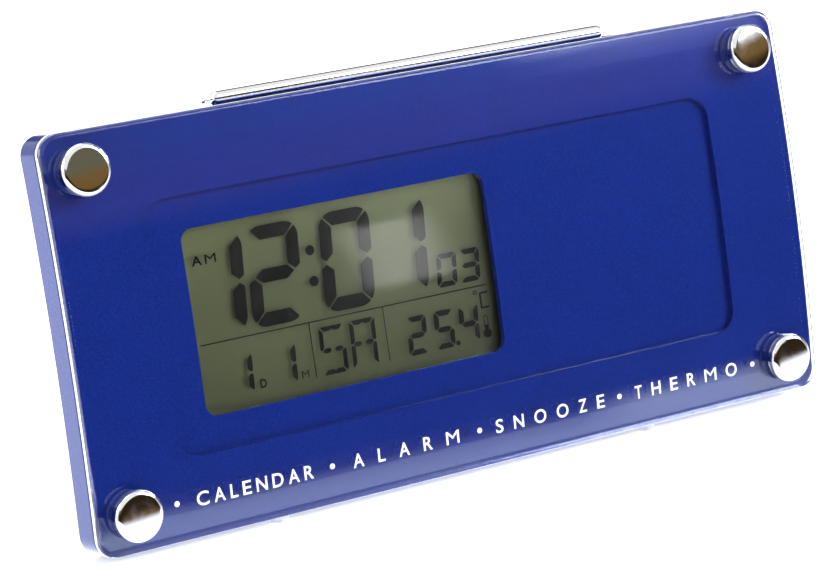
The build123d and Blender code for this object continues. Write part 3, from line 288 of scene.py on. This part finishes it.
def circuit_board():
    """Green lacquer over copper tracks."""
    board, tree, shader = surface("circuit_board", {"Roughness": 0.32, "Specular IOR Level": 0.5})
    tracks = add(tree, "TexBrick", {
        "Vector": place(tree), "Color1": (0, 0, 0, 1), "Color2": (0.4, 0.4, 0.4, 1), "Mortar": (1, 1, 1, 1),
        "Scale": 260.0, "Mortar Size": 0.08}).outputs["Color"]
    lines = add(tree, "SeparateColor", {"Color": tracks}).outputs["Red"]
    tone = blend(tree, lines, (0.012, 0.085, 0.035), (0.03, 0.16, 0.06))
    plug(tree, shader.inputs["Base Color"], tone)
    plug(tree, shader.inputs["Normal"], bump(tree, lines, 0.3, 0.03))
    return board


def small_parts():
    """Ceramic chips: some tan, some dark, with tinned ends."""
    chips, tree, shader = surface("small_parts", {"Roughness": 0.4})
    which = soft_step(tree, cells(tree, 4.0), 0.45, 0.55)
    tone = blend(tree, which, (0.30, 0.19, 0.09), (0.03, 0.03, 0.035))
    dust = spread(tree, noise(tree, 0.3), 0.3, 0.7, 0.0, 0.2)
    plug(tree, shader.inputs["Base Color"], blend(tree, dust, tone, (0.5, 0.5, 0.5)))
    return chips


BAND_FROM, BARE_FROM = 10.0, 21.0  # along a cell, from its middle
EDGE_HALF = 0.1                    # the print fades out over twice this


def battery_skin(name, nose_up):
    """Printed sleeve in two plain colours with bare metal ends."""
    node = middle(name)
    skin, tree, shader = surface(name + "_skin", {"Coat Weight": 0.4, "Coat Roughness": 0.1})
    along = add(tree, "VectorMath", {0: place(tree), 1: tuple(UPWARD * nose_up)}, operation="DOT_PRODUCT")
    height = reckon(tree, "SUBTRACT", along.outputs["Value"], node.dot(UPWARD) * nose_up)
    band = soft_step(tree, height, (BAND_FROM - EDGE_HALF) * MM, (BAND_FROM + EDGE_HALF) * MM)
    low_end = soft_step(tree, height, -(BARE_FROM - EDGE_HALF) * MM, -(BARE_FROM + EDGE_HALF) * MM)
    high_end = soft_step(tree, height, (BARE_FROM - EDGE_HALF) * MM, (BARE_FROM + EDGE_HALF) * MM)
    bare = reckon(tree, "MAXIMUM", low_end, high_end)
    foil = blend(tree, band, (0.02, 0.021, 0.025), (0.62, 0.33, 0.10))
    scuff = noise(tree, 0.6, 4.0)
    worn = blend(tree, spread(tree, scuff, 0.62, 0.8, 0.0, 0.25), foil, (0.3, 0.3, 0.3))
    plug(tree, shader.inputs["Base Color"], blend(tree, bare, worn, (0.62, 0.62, 0.63)))
    plug(tree, shader.inputs["Metallic"], reckon(tree, "MAXIMUM", bare, reckon(tree, "MULTIPLY", band, 0.8)))
    plug(tree, shader.inputs["Roughness"], spread(tree, scuff, 0.3, 0.7, 0.22, 0.36))
    return skin


def ribbon_flat():
    """White flat cable with a ridge over each wire, and painted shade darkening the grooves between the ridges."""
    flat, tree, shader = surface("ribbon_flat", {"Roughness": 0.42})
    ridges_and_groove_shade = add(tree, "TexWave", {"Vector": place(tree), "Scale": 320.0, "Distortion": 0.0}).outputs["Fac"]
    # the colour follows the ridges: painted shade turns the grooves between them grey, the ridge tops stay white
    plug(tree, shader.inputs["Base Color"], blend(tree, ridges_and_groove_shade, (0.50, 0.51, 0.53), (0.78, 0.78, 0.77)))
    plug(tree, shader.inputs["Normal"], bump(tree, ridges_and_groove_shade, 0.5, 0.15))
    return flat


finishes = {
    "clear_acrylic": clear_acrylic(),
    "clear_washer": soft_clear("washer_rubber", (0.80, 0.83, 0.88), 0.35, 0.4),
    "chrome": chrome(),
    "screw_steel": plated_steel("screw_steel", (0.62, 0.62, 0.64)),
    "spring_steel": plated_steel("spring_steel", (0.70, 0.70, 0.71)),
    "blue_body": blue_metallic(),
    "rear_plastic": moulded("rear_plastic", (0.015, 0.032, 0.18), 0.22, 0.46),
    "display_glass": display_glass(),
    "display_reflector": display_reflector(),
    "white_plastic": moulded("white_plastic", (0.78, 0.78, 0.75), 0.3, 0.5),
    "silicone": moulded("silicone", (0.34, 0.35, 0.37), 0.5, 0.62),
    "circuit_board": circuit_board(),
    "black_resin": moulded("black_resin", (0.012, 0.012, 0.013), 1.2, 0.22, 0.05),
    "components": small_parts(),
    "switch_black": moulded("switch_black", (0.022, 0.022, 0.024), 0.2, 0.45),
    "wire_insulation": moulded("wire_insulation", (0.42, 0.02, 0.02), 0.4, 0.35),
    "button_plastic": moulded("button_plastic", (0.46, 0.47, 0.50), 0.18, 0.42),
    "sounder_brass": plated_steel("sounder_brass", (0.72, 0.53, 0.22)),
    "foot_rubber": soft_clear("foot_rubber", (0.88, 0.90, 0.93), 0.55, 0.3),
    "ribbon": ribbon_flat(),
}
battery_finishes = {
    "battery_left": battery_skin("battery_left", 1.0),
    "battery_right": battery_skin("battery_right", -1.0),
}
for part in frame["record"]["subparts"]:
    name = part["node"]
    finish = battery_finishes.get(name) or finishes[part["material_slot"]]
    slots = frame["nodes"][name].data.materials
    slots.clear()
    slots.append(finish)


# ---------------------------------------------------------------- thin printed and lit shapes
def new_piece(name, mesh, material):
    piece = bpy.data.objects.new(name, mesh)
    mesh.materials.append(material)
    bpy.context.scene.collection.objects.link(piece)
    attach(piece, "case")
    return piece


def prism(shape, outline, to_front, to_back):
    """Adds a closed solid: an outline at its front places, carried to its back ones."""
    front = [shape.verts.new(to_front(across, up)) for across, up in outline]
    back = [shape.verts.new(to_back(across, up)) for across, up in outline]
    shape.faces.new(front)
    shape.faces.new(list(reversed(back)))
    for one in range(len(outline)):
        two = (one + 1) % len(outline)
        shape.faces.new((front[two], front[one], back[one], back[two]))


def arc(middle_x, middle_y, radius, first, last, steps=8):
    """Points along an arc, with its angles in degrees."""
    angles = [math.radians(first + (last - first) * step / steps) for step in range(steps + 1)]
    return [(middle_x + radius * math.cos(a), middle_y + radius * math.sin(a)) for a in angles]


def mirrored(outline, left_right, up_down, width):
    """The outline flipped about the middle of its cell."""
    return [(width - x if left_right else x, -y if up_down else y) for x, y in outline]


def split_bar(width, half, stroke, gap):
    """Outlines of a weekday letter's top bar and of the two halves of its middle bar."""
    near, far = stroke + gap, width - stroke - gap
    notch = 0.35 * stroke
    top = [(near, half - stroke), (width / 2 - notch, half - stroke), (width / 2, half - 0.55 * stroke),
           (width / 2 + notch, half - stroke), (far, half - stroke), (far + 0.75 * stroke, half),
           (near - 0.75 * stroke, half)]
    start, end = 0.62 * stroke, width / 2 - 0.4 * stroke
    bevel = 0.5 * stroke
    lens = [(start, 0.0), (start + bevel, bevel), (end - bevel, bevel),
            (end, 0.0), (end - bevel, -bevel), (start + bevel, -bevel)]
    return top, lens, mirrored(lens, True, False, width)


def segments(width, height, stroke, rounding, gap, letter=False):
    """Outlines of a segment digit, named a to g the usual way, about the middle of its left side."""
    half = height / 2
    skew = gap / 2 * math.sqrt(2)
    cut = math.degrees(math.asin(gap / 2 / rounding))
    corner_x, corner_y = width - rounding, half - rounding
    side = [(width - stroke, half - stroke - skew)]
    side += arc(corner_x, corner_y, rounding, 45 - cut, 0)
    side += [(width, 0.40 * stroke), (width - 0.40 * stroke, 0.12 * stroke), (width - stroke, 0.60 * stroke)]
    top = [(stroke + skew, half - stroke), (width - stroke - skew, half - stroke)]
    top += arc(corner_x, corner_y, rounding, 45 + cut, 90)
    top += mirrored(reversed(arc(corner_x, corner_y, rounding, 45 + cut, 90)), True, False, width)
    point, flat = 0.52 * stroke, 1.10 * stroke
    bar = [(point, 0.0), (flat, 0.48 * stroke), (width - flat, 0.48 * stroke),
           (width - point, 0.0), (width - flat, -0.48 * stroke), (flat, -0.48 * stroke)]
    made = {"b": [side], "c": [mirrored(side, False, True, width)], "f": [mirrored(side, True, False, width)],
            "e": [mirrored(side, True, True, width)], "a": [top], "d": [mirrored(top, False, True, width)],
            "g": [bar]}
    if letter:
        notched, left_lens, right_lens = split_bar(width, half, stroke, gap)
        made["a"] = [notched]
        made["d"] = [mirrored(notched, False, True, width)]
        made["g"] = [left_lens, right_lens]
    return made


LIT = {"0": "abcdef", "1": "bc", "2": "abged", "3": "abgcd", "4": "fgbc", "5": "afgcd",
       "S": "afgcd", "A": "abcefg"}
SEGMENT_THICK = 0.03

# Rows of the display: characters, their left sides, the height of their middles, and their shape.
DISPLAY_ROWS = (
    ("1201", (-56.2, -43.8, -27.65, -15.05), 6.0,
     {"width": 11.4, "height": 19.4, "stroke": 2.72, "rounding": 3.2, "gap": 0.36, "slant": 0.066}),
    ("03", (-2.15, 3.25), -0.15,
     {"width": 4.65, "height": 6.6, "stroke": 1.05, "rounding": 1.0, "gap": 0.2, "slant": 0.085}),
    ("11254", (-50.35, -40.75, -10.85, -4.5, 1.35), -11.68,
     {"width": 4.5, "height": 7.65, "stroke": 1.1, "rounding": 1.0, "gap": 0.2, "slant": 0.045}),
    ("SA", (-30.7, -23.75), -10.8,
     {"width": 5.8, "height": 9.4, "stroke": 0.92, "rounding": 0.5, "gap": 0.2, "slant": 0.03,
      "letter": True}),
)
DISPLAY_DOTS = ((-29.8, 9.1, 1.0), (-29.85, 3.05, 1.0), (0.45, -14.95, 0.5))     # across, up, radius
RULE_LEFT, RULE_RIGHT = -56.2, 8.6
RULE_LOW, RULE_TOP = -4.76, -4.52
DIVIDER_LOW = -15.5
DIVIDERS = ((-32.5, -32.26), (-15.72, -15.5))                # left and right sides
UNIT_LEFT, UNIT_STEM, UNIT_RIGHT = 6.78, 7.18, 8.8
UNIT_LOW, UNIT_TOP, UNIT_STROKE = -9.27, -5.95, 0.35
DEGREE_LEFT, DEGREE_RIGHT = 5.42, 6.3
DEGREE_LOW, DEGREE_TOP = -6.2, -5.43
DEGREE_SIDE, DEGREE_FLAT = 0.2, 0.18                         # strokes of the degree sign
TUBE_X, TUBE_HALF, TUBE_WALL = 7.55, 0.5, 0.17               # thermometer sign
TUBE_LOW, TUBE_TOP = -12.6, -11.1
BULB_UP, BULB_RADIUS = -14.3, 0.95
NECK_UP, NECK_HALF = -13.6, 0.42


def on_display(depth):
    return lambda across, up: at(across, up, depth)


def put_outlines(shape, outlines):
    front, back = on_display(GLASS_JOIN - SEGMENT_THICK), on_display(GLASS_JOIN)
    for outline in outlines:
        prism(shape, outline, front, back)


def put_digit(shape, character, left, up, width, height, stroke, rounding, gap, slant, letter=False):
    """One lit character whose left side at mid height is at (left, up)."""
    outlines = segments(width, height, stroke, rounding, gap, letter)
    for key in LIT[character]:
        placed = [[(left + x + slant * y, up + y) for x, y in outline] for outline in outlines[key]]
        put_outlines(shape, placed)


def disc(across, up, radius, steps=24):
    return arc(across, up, radius, 0, 360 - 360 / steps, steps - 1)


def display_digits():
    shape = bmesh.new()
    for characters, lefts, up, form in DISPLAY_ROWS:
        for character, left in zip(characters, lefts):
            put_digit(shape, character, left, up, **form)
    put_outlines(shape, [disc(*dot) for dot in DISPLAY_DOTS])
    return finish_mesh(shape, "display_digits")


def bar(left, low, right, high):
    return [(left, low), (right, low), (right, high), (left, high)]


def display_marks():
    """Ruled lines, degree sign, unit letter and thermometer sign of the display."""
    shape = bmesh.new()
    put_outlines(shape, [bar(RULE_LEFT, RULE_LOW, RULE_RIGHT, RULE_TOP)])
    put_outlines(shape, [bar(left, DIVIDER_LOW, right, RULE_LOW) for left, right in DIVIDERS])
    put_outlines(shape, [bar(UNIT_LEFT, UNIT_LOW, UNIT_STEM, UNIT_TOP),
                         bar(UNIT_STEM, UNIT_TOP - UNIT_STROKE, UNIT_RIGHT, UNIT_TOP),
                         bar(UNIT_STEM, UNIT_LOW, UNIT_RIGHT, UNIT_LOW + UNIT_STROKE)])
    inner_left, inner_right = DEGREE_LEFT + DEGREE_SIDE, DEGREE_RIGHT - DEGREE_SIDE
    put_outlines(shape, [bar(DEGREE_LEFT, DEGREE_LOW, inner_left, DEGREE_TOP),
                         bar(inner_right, DEGREE_LOW, DEGREE_RIGHT, DEGREE_TOP),
                         bar(inner_left, DEGREE_TOP - DEGREE_FLAT, inner_right, DEGREE_TOP),
                         bar(inner_left, DEGREE_LOW, inner_right, DEGREE_LOW + DEGREE_FLAT)])
    for side in (-1, 1):
        edges = sorted((TUBE_X + side * TUBE_HALF, TUBE_X + side * (TUBE_HALF - TUBE_WALL)))
        put_outlines(shape, [bar(edges[0], TUBE_LOW, edges[1], TUBE_TOP)])
    outer = arc(TUBE_X, TUBE_TOP, TUBE_HALF, 180, 0)
    inner = arc(TUBE_X, TUBE_TOP, TUBE_HALF - TUBE_WALL, 180, 0)
    put_outlines(shape, [outer + list(reversed(inner))])
    left_neck = [(TUBE_X - TUBE_HALF, TUBE_LOW), (TUBE_X - NECK_HALF, NECK_UP)]
    right_neck = [(TUBE_X + NECK_HALF, NECK_UP), (TUBE_X + TUBE_HALF, TUBE_LOW)]
    bulb = arc(TUBE_X, BULB_UP, BULB_RADIUS, 125, 415, 20)
    put_outlines(shape, [left_neck + bulb + right_neck])
    return finish_mesh(shape, "display_marks")


def finish_mesh(shape, name):
    bmesh.ops.recalc_face_normals(shape, faces=shape.faces)
    mesh = bpy.data.meshes.new(name)
    shape.to_mesh(mesh)
    shape.free()
    return mesh


FONT_HEIGHT = 0.682                # height of a capital letter of size 1


def letter_mesh(character, left, low, width, height, weight, to_front, to_back):
    """One capital letter as a thin closed solid, fitted between left and left + width."""
    curve = bpy.data.curves.new("letter", "FONT")
    curve.body = character
    curve.size = 1.0
    curve.offset = weight
    curve.extrude = 0.5
    curve.resolution_u = 5
    holder = bpy.data.objects.new("letter", curve)
    mesh = bpy.data.meshes.new_from_object(holder)
    bpy.data.objects.remove(holder)
    across = [vertex.co.x for vertex in mesh.vertices]
    first, last = min(across), max(across)
    for vertex in mesh.vertices:
        x = left + (vertex.co.x - first) / (last - first) * width
        y = low + vertex.co.y / FONT_HEIGHT * height
        vertex.co = to_front(x, y) if vertex.co.z > 0 else to_back(x, y)
    return mesh


def join_meshes(name, meshes):
    shape = bmesh.new()
    for mesh in meshes:
        shape.from_mesh(mesh)
        bpy.data.meshes.remove(mesh)
    bmesh.ops.remove_doubles(shape, verts=shape.verts, dist=0.000001)
    return finish_mesh(shape, name)


LETTER_WIDTH = {"A": 2.40, "C": 2.61, "D": 2.42, "E": 1.86, "H": 2.30, "L": 1.58, "M": 3.02, "N": 2.40,
                "O": 2.86, "R": 2.06, "S": 1.75, "T": 1.70, "Z": 1.91}
LETTER_HIGH = 2.62
LETTER_WEIGHT = {"M": 0.0}         # strokes are thickened, save where they would cross
PLATE_WEIGHT, DISPLAY_WEIGHT = 0.012, 0.02
WORDS = (("CALENDAR", -63.87, 1.12), ("ALARM", -29.35, 3.25),
         ("SNOOZE", 3.85, 2.56), ("THERMO", 37.97, 2.44))    # left side, space between letters
SMALL_LETTERS = (("A", -55.5, 10.5, 2.25, 1.8), ("M", -52.6, 10.5, 2.4, 1.8),
                 ("D", -44.7, -15.05, 1.4, 1.6), ("M", -35.5, -15.05, 1.62, 1.45))
LETTER_LOW = -33.78
PRINT_THICK = 0.02
DOT_UP = -32.4
DOT_SPACING = 34.05
DOT_RADIUS = 0.55


def on_plate(raised):
    """Places on the plate's bowed front face, raised by some millimetres."""
    return lambda across, up: at(across, up, plate_front(up) - raised)


def front_lettering():
    """The four words along the foot of the plate, with a dot before, between and after them."""
    front, back = on_plate(PRINT_THICK), on_plate(-PRINT_THICK / 4)
    meshes = []
    for word, left, space in WORDS:
        for character in word:
            width = LETTER_WIDTH[character]
            weight = LETTER_WEIGHT.get(character, PLATE_WEIGHT)
            meshes.append(letter_mesh(character, left, LETTER_LOW, width, LETTER_HIGH, weight, front, back))
            left += width + space
    shape = bmesh.new()
    for place_in_row in range(-2, 3):
        prism(shape, disc(place_in_row * DOT_SPACING, DOT_UP, DOT_RADIUS), front, back)
    meshes.append(finish_mesh(shape, "dots"))
    return join_meshes("front_lettering", meshes)


def display_letters():
    """The small printed AM, D and M of the display."""
    front, back = on_display(GLASS_JOIN - SEGMENT_THICK), on_display(GLASS_JOIN)
    meshes = []
    for character, left, low, width, high in SMALL_LETTERS:
        weight = LETTER_WEIGHT.get(character, DISPLAY_WEIGHT)
        meshes.append(letter_mesh(character, left, low, width, high, weight, front, back))
    return join_meshes("display_letters", meshes)


black = segment_black()
new_piece("display_digits", display_digits(), black)
new_piece("display_marks", display_marks(), black)
new_piece("display_letters", display_letters(), black)
new_piece("front_lettering", front_lettering(), print_white())


# ---------------------------------------------------------------- corner caps, turned finely enough to mirror
CAP_RADIUS = 5.0
CAP_HEIGHT = 2.2                   # washer not counted
CAP_ROUNDING = 1.0
CAP_DOME = 0.06
CAP_FOOT = 0.35
CAP_GROOVE = 0.2
WASHER_THICK = 0.3
SPIGOT_RADIUS, SPIGOT_LONG = 2.0, 4.4
CAP_BORE = 1.25
STUD_UP = 32.55
TURN_STEPS, ROUNDING_STEPS, DOME_STEPS = 96, 12, 8
SHARP_TURN = math.radians(30)      # edges that turn more than this stay crisp


def cap_outline():
    """Radius and height above the plate of a cap's half section, from the axis back to the axis."""
    rim = WASHER_THICK + CAP_HEIGHT - CAP_DOME
    foot = WASHER_THICK + CAP_FOOT
    waist = CAP_RADIUS - CAP_GROOVE
    face = CAP_RADIUS - CAP_ROUNDING
    dome_radius = (face ** 2 + CAP_DOME ** 2) / (2 * CAP_DOME)
    outline = [(0, 0), (CAP_BORE, 0), (CAP_BORE, -SPIGOT_LONG), (SPIGOT_RADIUS, -SPIGOT_LONG),
               (SPIGOT_RADIUS, WASHER_THICK), (CAP_RADIUS, WASHER_THICK), (CAP_RADIUS, foot),
               (waist, foot), (waist, foot + CAP_GROOVE), (CAP_RADIUS, foot + CAP_GROOVE)]
    outline += arc(face, rim - CAP_ROUNDING, CAP_ROUNDING, 0, 90, ROUNDING_STEPS)
    for step in reversed(range(DOME_STEPS)):
        radius = face * step / DOME_STEPS
        outline.append((radius, rim + CAP_DOME - dome_radius + math.sqrt(dome_radius ** 2 - radius ** 2)))
    return outline


def turned(shape, outline, place_at, axis):
    """Solid of revolution about the axis, which is square to ACROSS. A ring on the axis is one point."""
    side = axis.cross(ACROSS)
    rings = []
    for radius, height in outline:
        ring = []
        for step in range(TURN_STEPS if radius else 1):
            turn = math.tau * step / TURN_STEPS
            spoke = ACROSS * (radius * math.cos(turn)) + side * (radius * math.sin(turn))
            ring.append(shape.verts.new(place_at + (axis * height + spoke) * MM))
        rings.append(ring)
    for near, far in zip(rings, rings[1:]):
        for step in range(TURN_STEPS):
            after = (step + 1) % TURN_STEPS
            corners = [near[step % len(near)], near[after % len(near)],
                       far[after % len(far)], far[step % len(far)]]
            face = shape.faces.new(list(dict.fromkeys(corners)))
            face.smooth = True


def turned_caps():
    shape = bmesh.new()
    stud_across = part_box("corner_caps")[1].x / MM - CAP_RADIUS
    for across in (-stud_across, stud_across):
        for up in (-STUD_UP, STUD_UP):
            tilt = up / BOW_RADIUS
            outward = UPWARD * tilt - BACKWARD * math.sqrt(1 - tilt ** 2)
            turned(shape, cap_outline(), at(across, up, plate_front(up)), outward)
    bmesh.ops.recalc_face_normals(shape, faces=shape.faces)
    for edge in shape.edges:
        edge.smooth = edge.calc_face_angle(0.0) < SHARP_TURN
    return finish_mesh(shape, "turned_caps")


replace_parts(new_piece("turned_caps", turned_caps(), finishes["chrome"]), "corner_caps")


# ---------------------------------------------------------------- studio: world, floor, lamps
# Patches of the room that the clock mirrors: turns and rises in degrees as seen from the clock, tone,
# and width of the soft edge. A turn of 0 looks along -Y and 90 along +X. Later ones cover earlier ones.
ROOM_PATCHES = (
    ((-60, 34), (12, 23), (0.14, 0.13, 0.085), 3),           # olive wall above the card
    ((36, 78), (19, 48), (8.5, 9.2, 9.8), 2),                # bright window
    ((-60, 48), (-3.8, 15.5), (0.19, 0.11, 0.035), 2.5),     # golden rim of the card
    ((-60, 48), (-2.5, 12.5), (0.028, 0.017, 0.009), 2),     # dark brown card
    ((-60, 60), (-14, -5.4), (1.6, 1.75, 2.0), 1.6),         # white table before the clock
    ((34, 60), (-14, -4.6), (1.9, 2.05, 2.3), 1.6),          # its brighter part
    ((30.1, 30.8), (6.6, 9.6), (1.7, 1.7, 1.6), 0.8),        # small light that the display mirrors
    ((70, 176), (0, 42), (0.16, 0.15, 0.14), 4),             # dark wall at the right and behind
)
FLOOR_BEFORE, FLOOR_BEHIND = (1.3, 1.3, 1.3), (2.0, 2.1, 2.3)


def studio_world():
    """A white room with the patches above. The camera sees plain white instead."""
    world = bpy.data.worlds.new("studio")
    world.use_nodes = True
    tree = world.node_tree
    tree.nodes.clear()
    direction = add(tree, "SeparateXYZ", {"Vector": add(tree, "TexCoord").outputs["Generated"]}).outputs
    turn = reckon(tree, "ARCTAN2", direction["X"], reckon(tree, "MULTIPLY", direction["Y"], -1.0))
    rise = reckon(tree, "ARCSINE", direction["Z"])

    def within(value, low, high, soft):
        """1 between two angles in degrees, fading out over a few degrees outside them."""
        start = soft_step(tree, value, math.radians(low - soft), math.radians(low))
        end = soft_step(tree, value, math.radians(high + soft), math.radians(high))
        return reckon(tree, "MULTIPLY", start, end)

    behind = soft_step(tree, reckon(tree, "ABSOLUTE", turn), math.radians(80), math.radians(110))
    below = within(rise, -89, -10, 4)
    floor_tone = blend(tree, behind, FLOOR_BEFORE, FLOOR_BEHIND)
    room = blend(tree, below, (1.0, 1.0, 1.0), floor_tone)
    for turns, rises, tone, soft in ROOM_PATCHES:
        inside = reckon(tree, "MULTIPLY", within(turn, *turns, soft), within(rise, *rises, soft))
        room = blend(tree, inside, room, tone)
    seen = blend(tree, add(tree, "LightPath").outputs["Is Camera Ray"], room, (1.0, 1.0, 1.0))
    backdrop = add(tree, "Background", {"Color": seen, "Strength": 1.0})
    output = add(tree, "OutputWorld")
    tree.links.new(backdrop.outputs["Background"], output.inputs["Surface"])
    bpy.context.scene.world = world


FLOOR_RADIUS = 3.0                 # metres


def studio_floor():
    """A plain pale floor. Shiny things mirror the tent instead of it."""
    shape = bmesh.new()
    bmesh.ops.create_circle(shape, cap_ends=True, radius=FLOOR_RADIUS, segments=TURN_STEPS)
    floor = bpy.data.objects.new("floor", finish_mesh(shape, "floor"))
    bpy.context.scene.collection.objects.link(floor)
    paper, tree, shader = surface("floor_paper", {
        "Specular IOR Level": 0.1, "Emission Color": (1.0, 1.0, 1.0, 1.0), "Emission Strength": 0.45})
    fibre = noise(tree, 4.0, 4.0)
    plug(tree, shader.inputs["Base Color"], blend(tree, fibre, (0.90, 0.90, 0.90), (0.93, 0.93, 0.93)))
    plug(tree, shader.inputs["Roughness"], spread(tree, fibre, 0.3, 0.7, 0.8, 0.9))
    floor.data.materials.append(paper)
    floor.location.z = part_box("front_feet")[0].z
    floor.visible_glossy = False
    floor.visible_transmission = False


# Name, place in metres, width and height in metres, watts.
SOFTBOXES = (
    ("key", (0.85, -0.45, 0.5), (0.35, 0.35), 7.0),
    ("top", (-0.1, 0.45, 0.9), (0.9, 0.5), 7.0),
    ("left", (-0.8, 0.25, 0.35), (0.5, 0.5), 4.0),
)


def softbox(name, place_at, aim_at, size, watts):
    data = bpy.data.lights.new(name, "AREA")
    data.shape = "RECTANGLE"
    data.size, data.size_y = size
    data.energy = watts
    lamp = bpy.data.objects.new(name, data)
    lamp.location = place_at
    lamp.rotation_mode = "QUATERNION"
    lamp.rotation_quaternion = (Vector(aim_at) - Vector(place_at)).to_track_quat("-Z", "Y")
    lamp.visible_camera = False
    bpy.context.scene.collection.objects.link(lamp)


def studio_lamps():
    for name, place_at, size, watts in SOFTBOXES:
        softbox(name, place_at, middle("front_shell"), size, watts)


studio_world()
studio_floor()
studio_lamps()

# ---------------------------------------------------------------- camera, in metres and degrees
CAMERA_ACROSS, CAMERA_UP, CAMERA_DEPTH = -336.55, 75.47, -554.86
CAMERA_TURN = -32.315              # 0 looks along +Y
CAMERA_RISE = 19.638
CAMERA_ROLL = -0.108
CAMERA_LENS = 144.41               # for a sensor 36 wide


def photo_camera():
    data = bpy.data.cameras.new("camera")
    data.sensor_width = 36.0
    data.lens = CAMERA_LENS
    data.clip_start, data.clip_end = 0.02, 20.0
    camera = bpy.data.objects.new("camera", data)
    turn, rise = math.radians(CAMERA_TURN), math.radians(CAMERA_RISE)
    away = Vector((math.sin(turn) * math.cos(rise), -math.cos(turn) * math.cos(rise), math.sin(rise)))
    aim = (-away).to_track_quat("-Z", "Y").to_matrix() @ Matrix.Rotation(math.radians(CAMERA_ROLL), 3, "Z")
    camera.rotation_mode = "QUATERNION"
    camera.rotation_quaternion = aim.to_quaternion()
    camera.location = at(CAMERA_ACROSS, CAMERA_UP, CAMERA_DEPTH)
    bpy.context.scene.collection.objects.link(camera)
    bpy.context.scene.camera = camera


photo_camera()
bpy.context.scene.view_settings.view_transform = "Standard"
